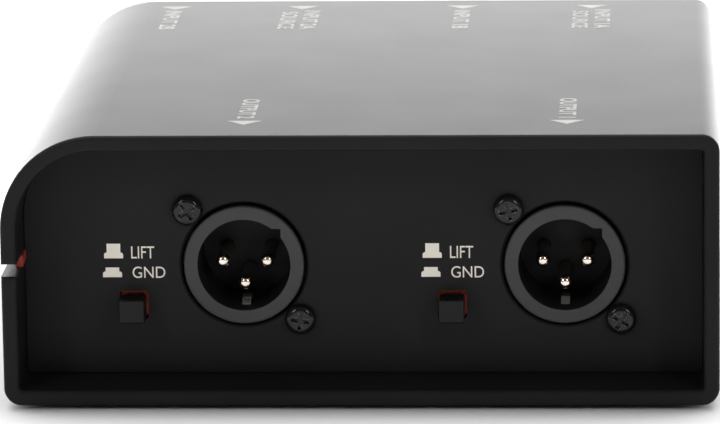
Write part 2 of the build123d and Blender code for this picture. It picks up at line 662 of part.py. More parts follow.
def make_terminals(channel):
    with BuildPart() as terminals:
        with BuildSketch(level(LEAD_END)):
            with Locations((BUTTON_X[channel], TERMINALS_Y)):
                with Locations(*TERMINALS):
                    Rectangle(TERMINAL_THICKNESS, TERMINAL_WIDTH)
        extrude(amount=BOARD_TOP - LEAD_END)
    save(terminals, f"switch_terminals_{channel}")


for channel in (1, 2):
    make_button(channel)
    make_plunger(channel)
    make_housing(channel)
    make_spring(channel)
    make_terminals(channel)


# --- Input jacks ------------------------------------------------------------------------------------------

def make_jack(name, x):
    """The jack's housing stands on the board; its bushing goes through the rear flange and panel."""
    with BuildPart() as jack:
        with BuildSketch(upright(JACK_FACE)):
            with Locations((x, JACK_Z)):
                RectangleRounded(JACK_WIDTH, JACK_HEIGHT, INNER_CORNER_RADIUS)
        extrude(amount=JACK_LENGTH)
        with BuildSketch(upright(JACK_FACE)):
            with Locations((x, JACK_Z)):
                Circle(BUSHING_RADIUS)
        extrude(amount=-BUSHING_LENGTH)
        with BuildSketch(upright(JACK_FACE - JACK_FRONT_WALL)):
            with Locations((x, JACK_Z)):
                Rectangle(JACK_CAVITY_WIDTH, JACK_CAVITY_HEIGHT)
        extrude(amount=JACK_LENGTH - JACK_FRONT_WALL - JACK_BACK_WALL, mode=Mode.SUBTRACT)
        with BuildSketch(upright(JACK_MOUTH)):
            with Locations((x, JACK_Z)):
                Circle(JACK_BORE_RADIUS)
        extrude(amount=BUSHING_LENGTH + JACK_FRONT_WALL, mode=Mode.SUBTRACT)
        chamfer(edges().filter_by(GeomType.CIRCLE).group_by(Axis.Y)[-1], JACK_MOUTH_EDGE)
        with BuildSketch(level(BOARD_TOP)):
            with Locations((x + CONTACT_FROM_AXIS, TIP_LEG_Y), (x - CONTACT_FROM_AXIS, SLEEVE_LEG_Y)):
                Rectangle(2 * CONTACT_THICKNESS, 2 * CONTACT_THICKNESS + 1)
        extrude(amount=JACK_HEIGHT / 2 - JACK_CAVITY_HEIGHT / 2, mode=Mode.SUBTRACT)
    save(jack, f"input_{name}_jack")


def make_contact(name, side, x, path, leg_y):
    """A spring strip along one side of the jack, with a crest for the plug and a leg into the board."""
    with BuildPart() as contact:
        with BuildSketch(level(JACK_Z - CONTACT_HEIGHT / 2)):
            with BuildLine():
                Polyline(*[(x + across, y) for across, y in path])
            trace(line_width=CONTACT_THICKNESS)
        extrude(amount=CONTACT_HEIGHT)
        with BuildSketch(level(LEAD_END)):
            with Locations((x + path[0][0], leg_y)):
                Rectangle(CONTACT_THICKNESS, 1.0)
        extrude(amount=JACK_Z - LEAD_END)
    save(contact, f"input_{name}_{side}_contact")


def make_contacts(name, x):
    tip_path = [
        (CONTACT_FROM_AXIS, JACK_FACE - 4),
        (CONTACT_FROM_AXIS, JACK_FACE - 16),
        (CONTACT_CREST, JACK_FACE - 18.5),
        (CONTACT_FROM_AXIS, JACK_FACE - 21),
    ]
    sleeve_path = [
        (-CONTACT_FROM_AXIS, JACK_FACE - 16),
        (-CONTACT_FROM_AXIS, JACK_FACE - 9),
        (-CONTACT_CREST, JACK_FACE - 6),
        (-CONTACT_FROM_AXIS, JACK_FACE - 3),
    ]
    make_contact(name, "tip", x, tip_path, TIP_LEG_Y)
    make_contact(name, "sleeve", x, sleeve_path, SLEEVE_LEG_Y)


for name, x in INPUT_X.items():
    make_jack(name, x)
    make_contacts(name, x)

with BuildPart() as jack_washers:
    with BuildSketch(upright(-PANEL_FRONT)):
        with Locations(*[(x, JACK_Z) for x in INPUT_X.values()]):
            Circle(WASHER_RADIUS)
            Circle(BUSHING_RADIUS + BUSHING_CLEARANCE, mode=Mode.SUBTRACT)
    extrude(amount=-WASHER_THICKNESS)
save(jack_washers, "jack_washers")

with BuildPart() as jack_nuts:
    with BuildSketch(upright(-PANEL_FRONT + WASHER_THICKNESS)):
        with Locations(*[(x, JACK_Z) for x in INPUT_X.values()]):
            RegularPolygon(NUT_ACROSS_FLATS / 2, 6, major_radius=False)
    extrude(amount=-NUT_THICKNESS)
    chamfer(edges().group_by(Axis.Y)[-1], NUT_EDGE)
    with BuildSketch(upright(-PANEL_FRONT + WASHER_THICKNESS)):
        with Locations(*[(x, JACK_Z) for x in INPUT_X.values()]):
            Circle(BUSHING_RADIUS + PIN_CLEARANCE)
    extrude(amount=-NUT_THICKNESS, mode=Mode.SUBTRACT)
save(jack_nuts, "jack_nuts")


# --- Transformers -----------------------------------------------------------------------------------------

def make_core(channel):
    with BuildPart() as core:
        with BuildSketch(upright(TRANSFORMER_Y + CORE_STACK / 2)):
            with Locations((TRANSFORMER_X[channel], CORE_BOTTOM + CORE_HEIGHT / 2)):
                Rectangle(CORE_WIDTH, CORE_HEIGHT)
                with Locations((-(CORE_LEG + CORE_YOKE) / 2, 0), ((CORE_LEG + CORE_YOKE) / 2, 0)):
                    Rectangle(CORE_YOKE, WINDOW_HEIGHT, mode=Mode.SUBTRACT)
        extrude(amount=CORE_STACK)
    save(core, f"transformer_{channel}_core")


def make_bobbin(channel):
    """A rectangular spool on the core's middle leg; two bars under its lower flange stand on the board."""
    centre = (TRANSFORMER_X[channel], TRANSFORMER_Y)
    tube = (CORE_LEG + 2 * (BOBBIN_GAP + BOBBIN_WALL), CORE_STACK + 2 * (BOBBIN_GAP + BOBBIN_WALL))
    with BuildPart() as bobbin:
        with BuildSketch(level(BOBBIN_BOTTOM)):
            with Locations(centre):
                Rectangle(*tube)
        extrude(amount=BOBBIN_TOP - BOBBIN_BOTTOM)
        with BuildSketch(level(BOBBIN_BOTTOM), level(BOBBIN_TOP - BOBBIN_FLANGE)):
            with Locations(centre):
                Rectangle(BOBBIN_WIDTH, BOBBIN_DEPTH)
        extrude(amount=BOBBIN_FLANGE)
        with BuildSketch(level(BOARD_TOP)):
            with Locations(centre):
                with Locations((0, -BAR_Y), (0, BAR_Y)):
                    Rectangle(BOBBIN_WIDTH, BOBBIN_BAR)
        extrude(amount=BOBBIN_BOTTOM - BOARD_TOP)
        with BuildSketch(level(BOBBIN_BOTTOM)):
            with Locations(centre):
                Rectangle(CORE_LEG + 2 * BOBBIN_GAP, CORE_STACK + 2 * BOBBIN_GAP)
        extrude(amount=BOBBIN_TOP - BOBBIN_BOTTOM, mode=Mode.SUBTRACT)
    save(bobbin, f"transformer_{channel}_bobbin")


def make_winding(channel):
    tube_gap = BOBBIN_GAP + BOBBIN_WALL + WINDING_GAP
    with BuildPart() as winding:
        with BuildSketch(level(BOBBIN_BOTTOM + BOBBIN_FLANGE + WINDING_GAP)):
            with Locations((TRANSFORMER_X[channel], TRANSFORMER_Y)):
                RectangleRounded(BOBBIN_WIDTH - 2 * WINDING_INSET, BOBBIN_DEPTH - 2 * WINDING_INSET, 2.0)
                Rectangle(CORE_LEG + 2 * tube_gap, CORE_STACK + 2 * tube_gap, mode=Mode.SUBTRACT)
        extrude(amount=BOBBIN_TOP - BOBBIN_BOTTOM - 2 * (BOBBIN_FLANGE + WINDING_GAP))
    save(winding, f"transformer_{channel}_winding")


def make_bracket(channel):
    """A steel strip bent over the core, with a tab on each side through the board."""
    top = CORE_BOTTOM + CORE_HEIGHT + BOBBIN_GAP + BRACKET_THICKNESS / 2
    centre_x = TRANSFORMER_X[channel]
    with BuildPart() as bracket:
        with BuildSketch(upright(TRANSFORMER_Y + BRACKET_WIDTH / 2)):
            with BuildLine():
                Polyline(
                    (centre_x - BRACKET_X, BOARD_TOP),
                    (centre_x - BRACKET_X, top),
                    (centre_x + BRACKET_X, top),
                    (centre_x + BRACKET_X, BOARD_TOP),
                )
            trace(line_width=BRACKET_THICKNESS)
        extrude(amount=BRACKET_WIDTH)
        with BuildSketch(level(LEAD_END)):
            with Locations((centre_x - BRACKET_X, TRANSFORMER_Y), (centre_x + BRACKET_X, TRANSFORMER_Y)):
                Rectangle(BRACKET_THICKNESS, TAB_WIDTH)
        extrude(amount=BOARD_TOP - LEAD_END)
    save(bracket, f"transformer_{channel}_bracket")


def make_transformer_pins(channel):
    with BuildPart() as pins:
        with BuildSketch(level(LEAD_END)):
            with Locations((TRANSFORMER_X[channel], TRANSFORMER_Y)):
                with Locations(*TRANSFORMER_PINS):
                    Circle(TRANSFORMER_PIN_RADIUS)
        extrude(amount=BOARD_TOP - LEAD_END)
    save(pins, f"transformer_{channel}_pins")


for channel in (1, 2):
    make_core(channel)
    make_bobbin(channel)
    make_winding(channel)
    make_bracket(channel)
    make_transformer_pins(channel)

# --- Small parts and the board ----------------------------------------------------------------------------

RESISTORS = [(x, y) for x in TRANSFORMER_X.values() for y in RESISTOR_Y]
CAPACITORS = [(-CAPACITOR_X, CAPACITOR_Y), (CAPACITOR_X, CAPACITOR_Y)]
RESISTOR_Z = BOARD_TOP + RESISTOR_RADIUS + PIN_CLEARANCE

with BuildPart() as resistors:
    for x, y in RESISTORS:
        with Locations((x, y, RESISTOR_Z)):
            Cylinder(RESISTOR_RADIUS, RESISTOR_LENGTH, rotation=(0, 90, 0))
            Cylinder(WIRE_LEAD_RADIUS, RESISTOR_SPAN, rotation=(0, 90, 0))
        for end in (x - RESISTOR_SPAN / 2, x + RESISTOR_SPAN / 2):
            with Locations((end, y, RESISTOR_Z)):
                Sphere(WIRE_LEAD_RADIUS)
                Cylinder(WIRE_LEAD_RADIUS, RESISTOR_Z - LEAD_END, align=HANGING)
save(resistors, "resistors")

with BuildPart() as capacitors:
    for x, y in CAPACITORS:
        with Locations((x, y, BOARD_TOP)):
            Box(*CAPACITOR_SIZE, align=STANDING)
    fillet(edges().filter_by(Axis.Z) + edges().group_by(Axis.Z)[-1], INNER_CORNER_RADIUS)
    for x, y in CAPACITORS:
        with Locations((x, y - CAPACITOR_PITCH / 2, BOARD_TOP), (x, y + CAPACITOR_PITCH / 2, BOARD_TOP)):
            Cylinder(WIRE_LEAD_RADIUS, BOARD_TOP - LEAD_END, align=HANGING)
save(capacitors, "capacitors")


def lead_places():
    """Where a lead goes through the board."""
    places = []
    for channel in (1, 2):
        places += [(OUTPUT_X[channel] + across, TAIL_Y) for across, up in PIN_PLACES]
        places += [(OUTPUT_X[channel], GROUND_TAIL_Y)]
        places += [(BUTTON_X[channel] + x, TERMINALS_Y + y) for x, y in TERMINALS]
        places += [(TRANSFORMER_X[channel] + x, TRANSFORMER_Y + y) for x, y in TRANSFORMER_PINS]
    for x in INPUT_X.values():
        places += [(x + CONTACT_FROM_AXIS, TIP_LEG_Y), (x - CONTACT_FROM_AXIS, SLEEVE_LEG_Y)]
    for x, y in RESISTORS:
        places += [(x - RESISTOR_SPAN / 2, y), (x + RESISTOR_SPAN / 2, y)]
    for x, y in CAPACITORS:
        places += [(x, y - CAPACITOR_PITCH / 2), (x, y + CAPACITOR_PITCH / 2)]
    return places


with BuildPart() as circuit_board:
    with BuildSketch(level(BOARD_BOTTOM)):
        with Locations((0, (BOARD_FRONT + BOARD_REAR) / 2)):
            RectangleRounded(BOARD_WIDTH, BOARD_REAR - BOARD_FRONT, BOARD_CORNER_RADIUS)
        with Locations(*BOARD_SCREWS):
            Circle(BOARD_SCREW_RADIUS + 2 * PANEL_GAP, mode=Mode.SUBTRACT)
        with Locations(*lead_places()):
            Circle(LEAD_HOLE_RADIUS, mode=Mode.SUBTRACT)
        for x in TRANSFORMER_X.values():
            with Locations((x - BRACKET_X, TRANSFORMER_Y), (x + BRACKET_X, TRANSFORMER_Y)):
                Rectangle(BRACKET_THICKNESS + 2 * PANEL_GAP, TAB_WIDTH + 2 * PANEL_GAP, mode=Mode.SUBTRACT)
    extrude(amount=BOARD_THICKNESS)
save(circuit_board, "circuit_board")
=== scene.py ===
import math

import bmesh
import bpy
from mathutils import Matrix, Vector


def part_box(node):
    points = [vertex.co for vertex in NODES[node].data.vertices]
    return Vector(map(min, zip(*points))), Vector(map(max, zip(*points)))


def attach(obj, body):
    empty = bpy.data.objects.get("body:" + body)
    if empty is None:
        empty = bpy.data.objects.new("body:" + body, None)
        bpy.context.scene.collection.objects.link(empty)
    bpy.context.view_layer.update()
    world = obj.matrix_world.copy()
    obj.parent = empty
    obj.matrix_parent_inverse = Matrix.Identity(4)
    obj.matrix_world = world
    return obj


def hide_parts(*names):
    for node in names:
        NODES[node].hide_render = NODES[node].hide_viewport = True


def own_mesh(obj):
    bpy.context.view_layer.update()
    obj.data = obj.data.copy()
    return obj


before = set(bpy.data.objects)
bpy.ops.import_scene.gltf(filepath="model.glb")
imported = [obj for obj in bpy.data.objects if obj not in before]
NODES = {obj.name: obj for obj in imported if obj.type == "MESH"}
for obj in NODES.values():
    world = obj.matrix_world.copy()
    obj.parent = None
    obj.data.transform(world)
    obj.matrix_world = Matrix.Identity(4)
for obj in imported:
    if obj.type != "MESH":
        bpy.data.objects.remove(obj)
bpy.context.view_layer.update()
MM = 0.001


# ---------------------------------------------------------------- materials

def shader(name):
    """A new material, its node tree and its Principled shader."""
    material = bpy.data.materials.new(name)
    material.use_nodes = True
    tree = material.node_tree
    return material, tree, tree.nodes["Principled BSDF"]


def noise(tree, scale, detail=3.0, stretch=(1, 1, 1), roughness=0.5):
    """Noise over the object's own coordinates, in features per metre."""
    place = tree.nodes.new("ShaderNodeTexCoord")
    mapping = tree.nodes.new("ShaderNodeMapping")
    mapping.inputs["Scale"].default_value = stretch
    texture = tree.nodes.new("ShaderNodeTexNoise")
    texture.inputs["Scale"].default_value = scale
    texture.inputs["Detail"].default_value = detail
    texture.inputs["Roughness"].default_value = roughness
    tree.links.new(place.outputs["Object"], mapping.inputs["Vector"])
    tree.links.new(mapping.outputs["Vector"], texture.inputs["Vector"])
    return texture.outputs["Fac"]


def ramp(tree, value, low, high, at=(0.3, 0.7)):
    """Turns a noise value into a value between low and high."""
    node = tree.nodes.new("ShaderNodeMapRange")
    node.inputs["From Min"].default_value = at[0]
    node.inputs["From Max"].default_value = at[1]
    node.inputs["To Min"].default_value = low
    node.inputs["To Max"].default_value = high
    tree.links.new(value, node.inputs["Value"])
    return node.outputs["Result"]


def blend(tree, factor, first, second):
    """Mixes two colours, each a colour or a socket."""
    node = tree.nodes.new("ShaderNodeMix")
    node.data_type = "RGBA"
    tree.links.new(factor, node.inputs["Factor"])
    for socket, colour in ((node.inputs[6], first), (node.inputs[7], second)):
        if isinstance(colour, (tuple, list)):
            socket.default_value = (*colour, 1)
        else:
            tree.links.new(colour, socket)
    return node.outputs[2]


def multiply(tree, first, second):
    """The product of two sockets' values."""
    node = tree.nodes.new("ShaderNodeMath")
    node.operation = "MULTIPLY"
    tree.links.new(first, node.inputs[0])
    tree.links.new(second, node.inputs[1])
    return node.outputs[0]


BEVEL_SAMPLES = 4
EDGE_BEND = (0.7, 0.99)
WEAR_AND_GLINT_PATCHES = (0.45, 0.62)
WEAR_AND_GLINT_FINER = 9
GLOSS_FINER = 2.3


def wear_and_glint_mask(tree, radius, amount, patches):
    """Up to amount on the edges, 0 elsewhere, broken up by patchy noise: rubbed wear on most finishes, a
    painted glint on the screws and button caps.
    """
    rounded = tree.nodes.new("ShaderNodeBevel")
    rounded.samples = BEVEL_SAMPLES
    rounded.inputs["Radius"].default_value = radius
    true = tree.nodes.new("ShaderNodeNewGeometry")
    dot = tree.nodes.new("ShaderNodeVectorMath")
    dot.operation = "DOT_PRODUCT"
    tree.links.new(rounded.outputs["Normal"], dot.inputs[0])
    tree.links.new(true.outputs["Normal"], dot.inputs[1])
    edge = ramp(tree, dot.outputs["Value"], amount, 0.0, EDGE_BEND)
    wear_and_glint_spots = ramp(tree, noise(tree, patches), 0.0, 1.0, WEAR_AND_GLINT_PATCHES)
    return multiply(tree, edge, wear_and_glint_spots)


def bump(tree, principled, layers):
    """Chains bump layers, each a height socket and a depth in metres."""
    previous = None
    for height, depth in layers:
        node = tree.nodes.new("ShaderNodeBump")
        node.inputs["Distance"].default_value = depth
        node.inputs["Strength"].default_value = 1.0
        tree.links.new(height, node.inputs["Height"])
        if previous is not None:
            tree.links.new(previous, node.inputs["Normal"])
        previous = node.outputs["Normal"]
    tree.links.new(previous, principled.inputs["Normal"])


def finish_of(name, dark, light, rough, grain, depth, metallic=0.0, ior=1.5, patches=60.0,
              wear_and_glint=None, wear_and_glint_amount=0.5, wear_and_glint_radius=0.3 * MM, stretch=(1, 1, 1), coat=0.0,
              ripple=None):
    """A moulded, painted or plated finish.

    It has two tones in soft patches, uneven gloss, fine grain and lighter edges: rubbed wear on most
    finishes, a painted glint on the screws and button caps. Scales are in features per metre, and ripple
    is a second bump layer's scale and depth.
    """
    material, tree, principled = shader(name)
    colour = blend(tree, ramp(tree, noise(tree, patches, 4.0), 0.0, 1.0), dark, light)
    # Lighter edges: rubbed wear on most finishes, a painted glint on the screws and button caps.
    if wear_and_glint is not None:
        wear_and_glint_spots = wear_and_glint_mask(tree, wear_and_glint_radius, wear_and_glint_amount, patches * WEAR_AND_GLINT_FINER)
        colour = blend(tree, wear_and_glint_spots, colour, wear_and_glint)
    tree.links.new(colour, principled.inputs["Base Color"])
    gloss = ramp(tree, noise(tree, patches * GLOSS_FINER, 5.0, stretch), *rough)
    tree.links.new(gloss, principled.inputs["Roughness"])
    layers = [(noise(tree, grain, 2.0, stretch), depth)]
    if ripple is not None:
        ripple_scale, ripple_depth = ripple
        layers.append((noise(tree, ripple_scale, 1.0), ripple_depth))
    bump(tree, principled, layers)
    principled.inputs["Metallic"].default_value = metallic
    principled.inputs["IOR"].default_value = ior
    principled.inputs["Coat Weight"].default_value = coat
    return material


def painted_shade_inside(material, start, depth, painted_shade):
    """Paints shade into a socket's bore and floor: nearly black from a place behind the rim along +Y."""
    tree = material.node_tree
    principled = tree.nodes["Principled BSDF"]
    shroud = principled.inputs["Base Color"].links[0].from_socket
    place = tree.nodes.new("ShaderNodeTexCoord")
    parts = tree.nodes.new("ShaderNodeSeparateXYZ")
    tree.links.new(place.outputs["Object"], parts.inputs["Vector"])
    # Painted shade, deepening behind the rim.
    deep = ramp(tree, parts.outputs["Y"], 0.0, 1.0, (start, start + depth))
    tree.links.new(blend(tree, deep, shroud, painted_shade), principled.inputs["Base Color"])


WIRE_DISTORTION = 0.6
WIRE_DETAIL_SCALE = 3.0
WIRE_GLOSS = (0.22, 0.4)
WIRE_GLOSS_PATCHES = 400
WIRE_METALLIC = 0.75


def wound_wire(name, dark, light, pitch, axis):
    """Enamelled wire laid side by side, two round ridges to a pitch along the winding's axis; the grooves
    between turns get painted shade.
    """
    material, tree, principled = shader(name)
    place = tree.nodes.new("ShaderNodeTexCoord")
    wave = tree.nodes.new("ShaderNodeTexWave")
    wave.bands_direction = axis
    wave.wave_profile = "SIN"
    wave.inputs["Scale"].default_value = math.pi / (5 * pitch)
    wave.inputs["Distortion"].default_value = WIRE_DISTORTION
    wave.inputs["Detail Scale"].default_value = WIRE_DETAIL_SCALE
    tree.links.new(place.outputs["Object"], wave.inputs["Vector"])
    # Painted shade: the colour follows the ridge wave, dark in the grooves between turns.
    tree.links.new(blend(tree, wave.outputs["Fac"], dark, light), principled.inputs["Base Color"])
    gloss = ramp(tree, noise(tree, WIRE_GLOSS_PATCHES), *WIRE_GLOSS)
    tree.links.new(gloss, principled.inputs["Roughness"])
    bump(tree, principled, [(wave.outputs["Fac"], pitch / 2)])
    principled.inputs["Metallic"].default_value = WIRE_METALLIC
    return material


POWDER_IOR = 1.17

black_coat = finish_of(
    "black_powder_coat", dark=(0.0125, 0.0125, 0.0128), light=(0.0155, 0.0155, 0.0159),
    rough=(0.418, 0.432), grain=4200, depth=0.005 * MM, ior=POWDER_IOR, patches=35,
    wear_and_glint=(0.04, 0.04, 0.041), wear_and_glint_amount=0.35, ripple=(900, 0.003 * MM)
)
panel_coat = finish_of(
    "panel_powder_coat", dark=(0.0145, 0.0145, 0.0149), light=(0.0175, 0.0175, 0.0179),
    rough=(0.36, 0.42), grain=4200, depth=0.006 * MM, ior=POWDER_IOR, patches=40,
    wear_and_glint=(0.03, 0.03, 0.031), wear_and_glint_amount=0.3, ripple=(900, 0.005 * MM)
)
red_coat = finish_of(
    "red_powder_coat", dark=(0.78, 0.06, 0.026), light=(0.88, 0.09, 0.035), rough=(0.4, 0.5),
    grain=4200, depth=0.01 * MM, patches=45, wear_and_glint=(0.5, 0.3, 0.25), wear_and_glint_amount=0.4, ripple=(900, 0.008 * MM)
)
red_rubber = finish_of(
    "red_strip", dark=(0.26, 0.026, 0.01), light=(0.32, 0.034, 0.013), rough=(0.55, 0.7), grain=3500,
    depth=0.02 * MM, patches=70
)
pad_rubber = finish_of(
    "pad_rubber", dark=(0.012, 0.012, 0.012), light=(0.024, 0.024, 0.023), rough=(0.7, 0.88),
    grain=1800, depth=0.06 * MM, patches=90, wear_and_glint=(0.06, 0.058, 0.055), wear_and_glint_amount=0.6
)
# The screw heads' light edges, along the cross recess and the rim, are a painted glint on a near-black head.
black_screw = finish_of(
    "black_screw", dark=(0.006, 0.006, 0.0065), light=(0.012, 0.012, 0.013), rough=(0.06, 0.12),
    grain=2600, depth=0.008 * MM, ior=1.36, patches=260, wear_and_glint=(0.6, 0.6, 0.6), wear_and_glint_amount=0.7,
    wear_and_glint_radius=0.2 * MM
)
zinc = finish_of(
    "zinc_steel", dark=(0.5, 0.51, 0.52), light=(0.68, 0.68, 0.66), rough=(0.26, 0.42), grain=2200,
    depth=0.008 * MM, metallic=1.0, patches=200, wear_and_glint=(0.85, 0.85, 0.84)
)
socket_plastic = finish_of(
    "socket_plastic", dark=(0.054, 0.054, 0.0547), light=(0.06, 0.06, 0.0607), rough=(0.45, 0.55),
    grain=3200, depth=0.006 * MM, patches=120, ior=1.3, wear_and_glint=(0.05, 0.05, 0.05), wear_and_glint_amount=0.3
)
silver = finish_of(
    "silver_contact", dark=(0.82, 0.66, 0.55), light=(0.95, 0.84, 0.74), rough=(0.1, 0.2), grain=1800,
    depth=0.003 * MM, metallic=1.0, patches=500
)
tin = finish_of(
    "tin_contact", dark=(0.52, 0.52, 0.51), light=(0.7, 0.7, 0.68), rough=(0.24, 0.4), grain=2600,
    depth=0.006 * MM, metallic=1.0, patches=300, stretch=(1, 1, 0.2)
)
# The button caps' light edges are a painted highlight on the near-black cap.
cap_plastic = finish_of(
    "button_plastic", dark=(0.002, 0.002, 0.0021), light=(0.004, 0.004, 0.0041), rough=(0.26, 0.34),
    grain=3600, depth=0.005 * MM, ior=1.3, patches=200, wear_and_glint=(0.14, 0.14, 0.14), wear_and_glint_amount=0.8,
    wear_and_glint_radius=0.25 * MM
)
white_plastic = finish_of(
    "white_plastic", dark=(0.68, 0.66, 0.6), light=(0.8, 0.78, 0.72), rough=(0.35, 0.45), grain=2500,
    depth=0.006 * MM, patches=150
)
switch_plastic = finish_of(
    "switch_plastic", dark=(0.016, 0.016, 0.017), light=(0.026, 0.026, 0.027), rough=(0.35, 0.5),
    grain=2400, depth=0.01 * MM, patches=150, wear_and_glint=(0.08, 0.08, 0.08)
)
spring_steel = finish_of(
    "spring_steel", dark=(0.5, 0.5, 0.5), light=(0.68, 0.68, 0.67), rough=(0.16, 0.26), grain=2600,
    depth=0.004 * MM, metallic=1.0, patches=400
)
jack_plastic = finish_of(
    "jack_plastic", dark=(0.014, 0.014, 0.015), light=(0.024, 0.024, 0.025), rough=(0.34, 0.48),
    grain=2400, depth=0.01 * MM, patches=120, wear_and_glint=(0.07, 0.07, 0.07)
)
nickel = finish_of(
    "nickel", dark=(0.13, 0.127, 0.12), light=(0.19, 0.186, 0.178), rough=(0.2, 0.32), grain=2200,
    depth=0.003 * MM, metallic=1.0, patches=120, wear_and_glint=(0.3, 0.295, 0.285), wear_and_glint_amount=0.3
)
board_resist = finish_of(
    "board", dark=(0.008, 0.07, 0.026), light=(0.014, 0.11, 0.04), rough=(0.24, 0.38), grain=1500,
    depth=0.012 * MM, patches=160, coat=0.4
)
core_steel = finish_of(
    "core_steel", dark=(0.1, 0.1, 0.105), light=(0.22, 0.215, 0.21), rough=(0.34, 0.52), grain=1400,
    depth=0.03 * MM, metallic=0.9, patches=150, stretch=(0.1, 12, 0.1), wear_and_glint=(0.3, 0.2, 0.12),
    wear_and_glint_amount=0.6
)
bobbin_plastic = finish_of(
    "bobbin_plastic", dark=(0.05, 0.048, 0.045), light=(0.08, 0.077, 0.07), rough=(0.4, 0.55),
    grain=2200, depth=0.01 * MM, patches=140
)
# The first copper tone is the painted shade of the grooves between turns.
copper_wire = wound_wire("copper", (0.3, 0.09, 0.03), (0.62, 0.25, 0.1), pitch=0.3 * MM, axis="Z")
resistor_lacquer = finish_of(
    "resistor", dark=(0.26, 0.45, 0.56), light=(0.36, 0.56, 0.66), rough=(0.2, 0.32), grain=1200,
    depth=0.01 * MM, patches=300, coat=0.5
)
capacitor_resin = finish_of(
    "capacitor", dark=(0.42, 0.04, 0.025), light=(0.56, 0.07, 0.04), rough=(0.2, 0.3), grain=900,
    depth=0.02 * MM, patches=180, coat=0.5
)

# The socket's bore and floor get painted shade: nearly black from half a millimetre behind the rim.
SOCKET_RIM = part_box("output_1_socket")[0].y
RIM_KEEPS = 0.5 * MM
BORE_SHADE_FADE = 0.4 * MM
BORE_PAINTED_SHADE = (0.01, 0.01, 0.0102)
painted_shade_inside(socket_plastic, SOCKET_RIM + RIM_KEEPS, BORE_SHADE_FADE, BORE_PAINTED_SHADE)

CHANNELS = ("1", "2")
INPUTS = ("1a", "1b", "2a", "2b")
FINISHES = {
    "outer_shell": black_coat, "seam_strip": red_rubber, "base_pad": pad_rubber,
    "front_panel": panel_coat, "rear_panel": panel_coat, "inner_chassis": red_coat,
    "case_screws": black_screw, "case_nuts": zinc, "board_standoffs": zinc,
    "board_screws": zinc, "circuit_board": board_resist, "output_screws": black_screw,
    "jack_washers": nickel, "jack_nuts": nickel, "resistors": resistor_lacquer,
    "capacitors": capacitor_resin,
}
for channel in CHANNELS:
    FINISHES.update({
        f"output_{channel}_socket": socket_plastic, f"output_{channel}_pins": silver,
        f"output_{channel}_ground_contact": tin, f"lift_button_{channel}": cap_plastic,
        f"switch_plunger_{channel}": white_plastic, f"switch_housing_{channel}": switch_plastic,
        f"switch_spring_{channel}": spring_steel, f"switch_terminals_{channel}": tin,
        f"transformer_{channel}_core": core_steel, f"transformer_{channel}_bobbin": bobbin_plastic,
        f"transformer_{channel}_winding": copper_wire, f"transformer_{channel}_bracket": zinc,
        f"transformer_{channel}_pins": tin,
    })
for socket in INPUTS:
    FINISHES.update({
        f"input_{socket}_jack": jack_plastic, f"input_{socket}_tip_contact": silver,
        f"input_{socket}_sleeve_contact": silver,
    })
for node, material in FINISHES.items():
    slots = NODES[node].material_slots
    if not slots:
        NODES[node].data.materials.append(material)
    for slot in slots:
        slot.material = material


def centre(node):
    """The middle of a node's box."""
    low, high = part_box(node)
    return (low + high) / 2


# ---------------------------------------------------------------- switch springs

WIRE_RADIUS = 0.2 * MM
SPRING_TURNS = 6.5
CLOSED_TURNS = 1.0
STEPS_PER_TURN = 36
WIRE_SIDES = 10


def coil_spring(channel):
    """A spring with closed ends, in place of the plain CAD helix."""
    low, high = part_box(f"switch_spring_{channel}")
    middle = centre(f"switch_spring_{channel}")
    coil = (high.x - low.x) / 2 - WIRE_RADIUS
    start, end = low.y + WIRE_RADIUS, high.y - WIRE_RADIUS
    closed_rise = 2 * WIRE_RADIUS
    open_turns = SPRING_TURNS - 2 * CLOSED_TURNS
    open_rise = (end - start - 2 * closed_rise * CLOSED_TURNS) / open_turns
    work = bmesh.new()
    rings = []
    steps = round(SPRING_TURNS * STEPS_PER_TURN)
    for step in range(steps + 1):
        turn = SPRING_TURNS * step / steps
        opened = min(max(turn - CLOSED_TURNS, 0.0), open_turns)
        along = start + closed_rise * (turn - opened) + open_rise * opened
        angle = 2 * math.pi * turn
        outward = Vector((math.cos(angle), 0, math.sin(angle)))
        spot = Vector((middle.x, along, middle.z)) + outward * coil
        ring = []
        for side in range(WIRE_SIDES):
            around = 2 * math.pi * side / WIRE_SIDES
            offset = outward * math.cos(around) + Vector((0, 1, 0)) * math.sin(around)
            ring.append(work.verts.new(spot + offset * WIRE_RADIUS))
        rings.append(ring)
    for ring, following in zip(rings, rings[1:]):
        for side in range(WIRE_SIDES):
            after = (side + 1) % WIRE_SIDES
            work.faces.new((ring[side], ring[after], following[after], following[side]))
    work.faces.new(rings[0])
    work.faces.new(rings[-1])
    bmesh.ops.recalc_face_normals(work, faces=work.faces)
    for face in work.faces:
        face.smooth = len(face.verts) == 4
    mesh = bpy.data.meshes.new(f"coil_spring_{channel}")
    work.to_mesh(mesh)
    work.free()
    mesh.materials.append(spring_steel)
    spring = bpy.data.objects.new(f"coil_spring_{channel}", mesh)
    bpy.context.scene.collection.objects.link(spring)
    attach(spring, "box")
    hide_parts(f"switch_spring_{channel}")
    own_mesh(spring)


for channel in CHANNELS:
    coil_spring(channel)


# ---------------------------------------------------------------- printed legends

PRINT_THICKNESS = 0.02 * MM
PRINT_SINK = 0.01 * MM
LETTER_RESOLUTION = 6
print_ink = finish_of(
    "legend_ink", dark=(0.82, 0.765, 0.67), light=(0.88, 0.83, 0.73), rough=(0.5, 0.62), grain=6000,
    depth=0.004 * MM, patches=500
)
# The lid's legend ink is a darker copy of the panel's legend ink: painted shade against the brighter light
# on the lid.
lid_ink = finish_of(
    "lid_ink", dark=(0.38, 0.375, 0.355), light=(0.42, 0.415, 0.39), rough=(0.5, 0.6), grain=6000,
    depth=0.004 * MM, ior=POWDER_IOR, patches=500
)


